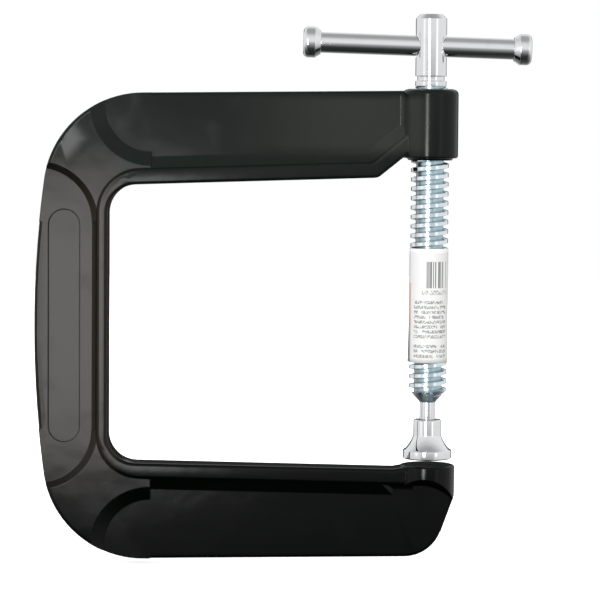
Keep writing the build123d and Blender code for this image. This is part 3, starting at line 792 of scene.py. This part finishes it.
barrel = turned_mesh("screw_head", rounded([
    (0, HEAD_LOW, 0), (HEAD_RADIUS, HEAD_LOW, 0.2), (HEAD_RADIUS, HEAD_LOW + COLLAR_TOP, 0.2),
    (HEAD_RADIUS - GROOVE_DEPTH, HEAD_LOW + COLLAR_TOP, 0.15),
    (HEAD_RADIUS - GROOVE_DEPTH, HEAD_LOW + GROOVE_TOP, 0.15),
    (HEAD_RADIUS, HEAD_LOW + GROOVE_TOP, 0.2), (HEAD_RADIUS, HEAD_HIGH - HEAD_CHAMFER, 0.35),
    (HEAD_RADIUS - HEAD_CHAMFER, HEAD_HIGH, 0.35), (0, HEAD_HIGH, 0)]), steps=192)
across_x = Matrix.Translation((0, 0, BAR_HEIGHT * MM)) @ Matrix.Rotation(pi / 2, 4, "Y")
flare_radius = BORE_RADIUS + CUTTER_REACH - FLARE_START
cutter_mesh = turned_mesh("bore_cutter", [Vector(point) for point in (
    (0, -CUTTER_REACH), (flare_radius, -CUTTER_REACH), (BORE_RADIUS, -FLARE_START),
    (BORE_RADIUS, FLARE_START), (flare_radius, CUTTER_REACH), (0, CUTTER_REACH))], place=across_x)
print("barrel", len(barrel.polygons), "faces, cutter", len(cutter_mesh.polygons))


# %% the screw's head
def bored(mesh, cutter_mesh):
    """The mesh with the cutter taken away, as a new plain mesh."""
    whole = bpy.data.objects.new("whole", mesh)
    cutter = bpy.data.objects.new("cutter", cutter_mesh)
    for item in (whole, cutter):
        bpy.context.scene.collection.objects.link(item)
    cut = whole.modifiers.new("bore", "BOOLEAN")
    cut.operation, cut.solver, cut.object = "DIFFERENCE", "EXACT", cutter
    bpy.context.view_layer.update()
    result = bpy.data.meshes.new_from_object(whole.evaluated_get(bpy.context.evaluated_depsgraph_get()))
    for item in (whole, cutter):
        bpy.data.objects.remove(item)
    return result


BORED_CORNER = radians(32)

head_mesh = bored(barrel, cutter_mesh)
head_mesh.materials.clear()
head_mesh.materials.append(plate)
head_mesh.shade_smooth()
head_mesh.set_sharp_from_angle(angle=BORED_CORNER)
as_piece("screw_head", head_mesh, "screw", "spindle")

# %% [markdown]
# Below the thread the screw is turned down to a neck and a ball. Only the neck shows, above the
# pad, but the ball is there too, because the pad rocks on it.

# %% the screw's tip
BALL_HEIGHT, BALL_RADIUS = 6.92, 3.6
NECK, THROAT = 2.55, 2.0
THROAT_FOOT, NECK_TOP = 10.4, 20.4
LIP_TOP = 11.54                   # the pad's lip, which the throat passes through
THROAT_ROOM, NECK_ROOM = 0.65, 1.25

ball_top = asin(THROAT / BALL_RADIUS)
ball = [Vector((BALL_RADIUS * sin(t), BALL_HEIGHT - BALL_RADIUS * cos(t)))
        for t in (step / 24 * (pi - ball_top) for step in range(25))]
tip_mesh = turned_mesh("screw_tip", ball + rounded([
    (THROAT, THROAT_FOOT, 0), (THROAT, LIP_TOP + THROAT_ROOM, 0.3), (NECK, LIP_TOP + NECK_ROOM, 0.2),
    (NECK, NECK_TOP, 0), (0, NECK_TOP, 0)]), steps=96)
tip_mesh.materials.append(plate)
as_piece("screw_tip", tip_mesh, "screw", "spindle")

# %% [markdown]
# The pad presses on the work and stays still while the screw turns in it. It is one turned piece:
# a round base, a flare that is slightly hollow, a collar, and a socket for the ball with a lip above
# it. A straight cone would do for the flare, but plating shows the hollow as a curved highlight.

# %% the thrust pad
PAD_LOW, PAD_HIGH = 2.02, 14.62
PAD_BASE_TOP, FLARE_TOP = 5.02, 9.62
BASE_RADIUS, FLARE_RADIUS, COLLAR_RADIUS = 7.8, 7.2, 4.45
MOUTH_RADIUS, LIP_RADIUS, SOCKET_RADIUS = 3.5, 2.6, 3.7
LIP_DEPTH, LIP_SLANT, COLLAR_STEP = 0.7, 1.3, 0.2
HOLLOW = 0.06                     # a share of the flare's length


def hollow_line(foot, top, share, steps=16):
    """Points from foot to top on an arc that sags inward by a share of its length."""
    length = (top - foot).length
    sag = share * length
    radius = ((length / 2) ** 2 + sag**2) / (2 * sag)
    inward = Vector((foot.y - top.y, top.x - foot.x)).normalized()
    middle = (foot + top) / 2 - inward * (radius - sag)
    first, last = foot - middle, top - middle
    return [middle + (first * (1 - step / steps) + last * (step / steps)).normalized() * radius
            for step in range(steps + 1)]


flare = hollow_line(Vector((FLARE_RADIUS, PAD_BASE_TOP)), Vector((COLLAR_RADIUS, FLARE_TOP)), HOLLOW)
socket = [Vector((SOCKET_RADIUS * cos(t), BALL_HEIGHT - SOCKET_RADIUS * sin(t)))
          for t in (step / 16 * pi / 2 for step in range(17))]
pad_mesh = turned_mesh("thrust_pad", [
    *rounded([(0, PAD_LOW, 0), (BASE_RADIUS, PAD_LOW, 0.5), (BASE_RADIUS, PAD_BASE_TOP, 0.5),
              (FLARE_RADIUS, PAD_BASE_TOP, 0)])[:-1],
    *flare,
    *rounded([(COLLAR_RADIUS, FLARE_TOP + COLLAR_STEP, 0), (COLLAR_RADIUS, PAD_HIGH, 0.5),
              (MOUTH_RADIUS, PAD_HIGH, 0.12), (MOUTH_RADIUS, LIP_TOP + LIP_SLANT, 0),
              (LIP_RADIUS, LIP_TOP, 0), (LIP_RADIUS, LIP_TOP - LIP_DEPTH, 0),
              (SOCKET_RADIUS, LIP_TOP - LIP_DEPTH, 0)]),
    *socket], steps=160)
pad_mesh.materials.append(plate)
as_piece("thrust_pad", pad_mesh, "pad", "swivel_pad", "swivel_pad")

# %% [markdown]
# The bar slides in the head's bore and lies a little askew in it. A cap is pressed on each end, so
# that it can't fall out. The bar and the caps are turned along their own axis and then laid along
# the bar's line. The left cap is the right one turned round.

# %% the sliding bar and its caps
BAR_SLOPE = radians(1.65)
BAR_SHIFT, BAR_CLEAR_LENGTH, BAR_RADIUS = -4.4, 61.4, 3.25
SPIGOT_RADIUS, SPIGOT_LENGTH = 2.25, 3.8
CAP_FOOT_RADIUS, CAP_RADIUS, CAP_SLANT, CAP_LENGTH = 3.7, 4.9, 1.9, 5.6

bar_way = Vector((cos(BAR_SLOPE), 0, -sin(BAR_SLOPE)))
bar_middle = Vector((0, 0, BAR_HEIGHT)) + bar_way * BAR_SHIFT
along_bar = Matrix.Translation(bar_middle * MM) @ bar_way.to_track_quat("Z", "Y").to_matrix().to_4x4()
other_way = along_bar @ Matrix.Rotation(pi, 4, "Y")
end = BAR_CLEAR_LENGTH / 2
tip = end + SPIGOT_LENGTH
bar_mesh = turned_mesh("sliding_bar", rounded([
    (0, -tip, 0), (SPIGOT_RADIUS, -tip, 0.3), (SPIGOT_RADIUS, -end, 0), (BAR_RADIUS, -end, 0.15),
    (BAR_RADIUS, end, 0.15), (SPIGOT_RADIUS, end, 0), (SPIGOT_RADIUS, tip, 0.3), (0, tip, 0)]),
    place=along_bar)
bar_mesh.materials.append(plate)
as_piece("sliding_bar", bar_mesh, "cross_bar", "t_bar", "t_bar")

cap_outline = rounded([
    (0, tip, 0), (SPIGOT_RADIUS, tip, 0), (SPIGOT_RADIUS, end, 0), (CAP_FOOT_RADIUS, end, 0.2),
    (CAP_RADIUS, end + CAP_SLANT, 0.4), (CAP_RADIUS, end + CAP_LENGTH, 1.6),
    (0, end + CAP_LENGTH, 0)], steps=10)
for side, place in (("left", other_way), ("right", along_bar)):
    cap_mesh = turned_mesh(f"cap_{side}", cap_outline, place=place)
    cap_mesh.materials.append(plate)
    as_piece(f"cap_{side}", cap_mesh, "cross_bar", "bar_caps", f"bar_cap_{side}")

# %% [markdown]
# The label is one strip of paper wrapped round the screw, so it bridges the thread's grooves. Its
# outer end laps over its start on the left, where it has begun to lift, most at its lower corner. A
# tube would be simpler, but it has no free end. So the strip is drawn as a spiral and given a
# thickness by a modifier.

# %% the label's strip
LABEL_LOW, LABEL_HIGH = 33.1, 69.6
LABEL_INSIDE, PAPER = 6.06, 0.12
LAP_START = radians(176)          # where the wrap begins, from +X towards the rear
LAP, LAP_EASE = radians(14), radians(30)
LIFT_REACH, LIFT_ANGLE = 0.50, radians(26)
LIFT_LOST, LIFT_FADE = 0.8, 2.2   # the share lost, and how fast: it is gone before half way up
STEPS_ROUND, STEPS_UP = 180, 24


def strip_columns():
    """From the strip's start to its free end: angle, reach, lift, and arc length from the front."""
    total = 2 * pi + LAP
    for step in range(STEPS_ROUND + 1):
        turned = total * step / STEPS_ROUND
        angle = LAP_START + turned
        lapped = min(max(0.0, (turned - 2 * pi + LAP_EASE) / LAP_EASE), 1.0)
        lifted = max(0.0, (turned - total + LIFT_ANGLE) / LIFT_ANGLE)
        reach = LABEL_INSIDE + PAPER * lapped * lapped * (3 - 2 * lapped)
        yield angle, reach, LIFT_REACH * lifted**2, LABEL_INSIDE * (angle - 1.5 * pi)


made = bmesh.new()
print_map = made.loops.layers.uv.new("print")
columns = []
for angle, reach, lift, arc in strip_columns():
    column = []
    for k in range(STEPS_UP + 1):
        share = k / STEPS_UP
        z = LABEL_LOW + (LABEL_HIGH - LABEL_LOW) * share
        out = reach + lift * (1 - LIFT_LOST * min(1, share * LIFT_FADE))
        vertex = made.verts.new((out * cos(angle) * MM, out * sin(angle) * MM, z * MM))
        column.append((vertex, (arc, z - LABEL_LOW)))
    columns.append(column)
for before, after in zip(columns, columns[1:]):
    for k in range(STEPS_UP):
        corners = (before[k], after[k], after[k + 1], before[k + 1])
        face = made.faces.new([vertex for vertex, _ in corners])
        for loop, (_, on_paper) in zip(face.loops, corners):
            loop[print_map].uv = on_paper
label_mesh = bpy.data.meshes.new("label")
made.to_mesh(label_mesh)
made.free()
flat_size = (LABEL_INSIDE * (2 * pi + LAP), LABEL_HIGH - LABEL_LOW)
print("strip, laid flat in mm:", [round(v, 1) for v in flat_size])

# %% the label
PAPER_THICKNESS = PAPER * 0.9      # a little less than the room the lap leaves for it

label_mesh.materials.append(label_paper)
label_mesh.shade_smooth()
label_piece = as_piece("paper_label", label_mesh, "screw", "label", "label")
thick = label_piece.modifiers.new("paper", "SOLIDIFY")
thick.thickness, thick.offset = PAPER_THICKNESS * MM, 1.0
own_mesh(label_piece)
print("label:", len(label_mesh.polygons), "faces before its thickness")

# %% [markdown]
# The bow keeps the CAD model's shape. Its skin arrives as one patch for each CAD face, so a copy is
# made with the patches' shared edges merged: then the shading runs smoothly over each rounded edge
# and breaks only at real corners. A remesh would round the casting's edges too, but it would also
# blur the fine steps beside the panel and the flanges.

# %% the bow
PATCH_SEAM = 0.0005 * MM
CAST_CORNER = radians(17)

bow_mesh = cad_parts["frame"].data.copy()
bow_mesh.name = "bow_casting"
made = bmesh.new()
made.from_mesh(bow_mesh)
bmesh.ops.remove_doubles(made, verts=made.verts, dist=PATCH_SEAM)
print("bow: open edges", sum(edge.is_boundary for edge in made.edges))
made.to_mesh(bow_mesh)
made.free()
bow_mesh.materials.clear()
bow_mesh.materials.append(enamel)
for attribute in ("custom_normal", "sharp_face", "sharp_edge"):
    if attribute in bow_mesh.attributes:
        bow_mesh.attributes.remove(bow_mesh.attributes[attribute])
bow_mesh.shade_smooth()
bow_mesh.set_sharp_from_angle(angle=CAST_CORNER)
as_piece("bow_casting", bow_mesh, "bow", "frame", "frame")

# %% [markdown]
# The ring lies hidden in the pad, so it keeps the CAD model's mesh and takes only a finish.

# %% the ring in the pad
ring_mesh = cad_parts["snap_ring"].data
ring_mesh.materials.clear()
ring_mesh.materials.append(wire)
print("snap_ring takes", wire.name)
